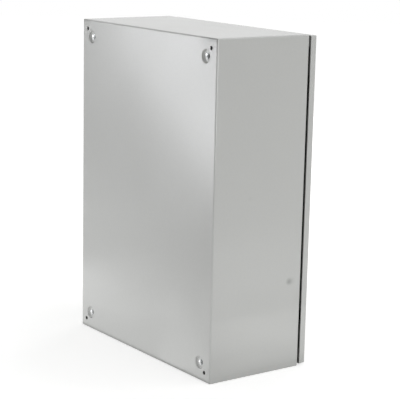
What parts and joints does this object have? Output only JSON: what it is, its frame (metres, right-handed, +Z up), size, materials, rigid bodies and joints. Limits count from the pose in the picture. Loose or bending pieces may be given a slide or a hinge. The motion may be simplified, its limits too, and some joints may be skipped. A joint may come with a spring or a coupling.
{
  "type": "outdoor steel enclosure",
  "caption": "Wall-mounting folded steel enclosure with a sealed hinged door, quarter-turn locks, pressed fixing dishes in its back, a mounting plate and a gland plate.",
  "frame": {"origin": "centre of the base, under the middle of the width and of the depth measured over the lock heads", "axes": "+Z up, +Y out of the back towards the wall, the door faces -Y, hinges on -X, locks on +X"},
  "size_m": [0.5, 0.257, 0.7],
  "materials": {
    "powder_coat": "semi-gloss light grey powder coat with a fine texture",
    "zinc_plate": "bright zinc plating",
    "black_zinc": "satin black passivated zinc plating",
    "galvanised": "galvanised sheet with a faint spangle",
    "copper_plate": "copper-plated weld stud",
    "seal_foam": "matte black foamed seal",
    "die_cast": "satin plated zinc die casting"
  },
  "bodies": {
    "body": {"body_shell": "powder_coat", "mounting_bushes": "zinc_plate", "mounting_plate": "galvanised", "plate_washers": "zinc_plate", "plate_nuts": "zinc_plate", "upper_hinge_bracket": "black_zinc", "lower_hinge_bracket": "black_zinc", "hinge_screws": "zinc_plate", "hinge_nuts": "zinc_plate", "body_earth_stud": "copper_plate", "body_earth_washer": "zinc_plate", "body_earth_nut": "zinc_plate", "gland_seal": "seal_foam", "gland_plate": "powder_coat", "gland_studs": "copper_plate", "gland_washers": "zinc_plate", "gland_nuts": "zinc_plate"},
    "door": {"door_panel": "powder_coat", "door_seal": "seal_foam", "door_rail_left": "powder_coat", "door_rail_right": "powder_coat", "upper_hinge_leaf": "black_zinc", "lower_hinge_leaf": "black_zinc", "upper_hinge_pin": "black_zinc", "lower_hinge_pin": "black_zinc", "door_earth_stud": "copper_plate", "door_earth_washer": "zinc_plate", "door_earth_nut": "zinc_plate", "upper_lock_housing": "die_cast", "lower_lock_housing": "die_cast", "upper_lock_seal": "seal_foam", "lower_lock_seal": "seal_foam", "upper_lock_nut": "zinc_plate", "lower_lock_nut": "zinc_plate"},
    "upper_lock_rotor": {"upper_lock_barrel": "die_cast", "upper_lock_cam": "zinc_plate", "upper_cam_washer": "zinc_plate", "upper_cam_screw": "zinc_plate"},
    "lower_lock_rotor": {"lower_lock_barrel": "die_cast", "lower_lock_cam": "zinc_plate", "lower_cam_washer": "zinc_plate", "lower_cam_screw": "zinc_plate"}
  },
  "joints": [
    {"name": "door_hinge", "type": "hinge", "parent": "body", "child": "door", "pos_m": [-0.241, -0.1145, 0.35], "axis": [0, 0, -1], "range_deg": [0, 120]},
    {"name": "upper_lock_turn", "type": "hinge", "parent": "door", "child": "upper_lock_rotor", "pos_m": [0.195, -0.1015, 0.525], "axis": [0, -1, 0], "range_deg": [0, 90]},
    {"name": "lower_lock_turn", "type": "hinge", "parent": "door", "child": "lower_lock_rotor", "pos_m": [0.195, -0.1015, 0.175], "axis": [0, -1, 0], "range_deg": [0, 90]}
  ]
}
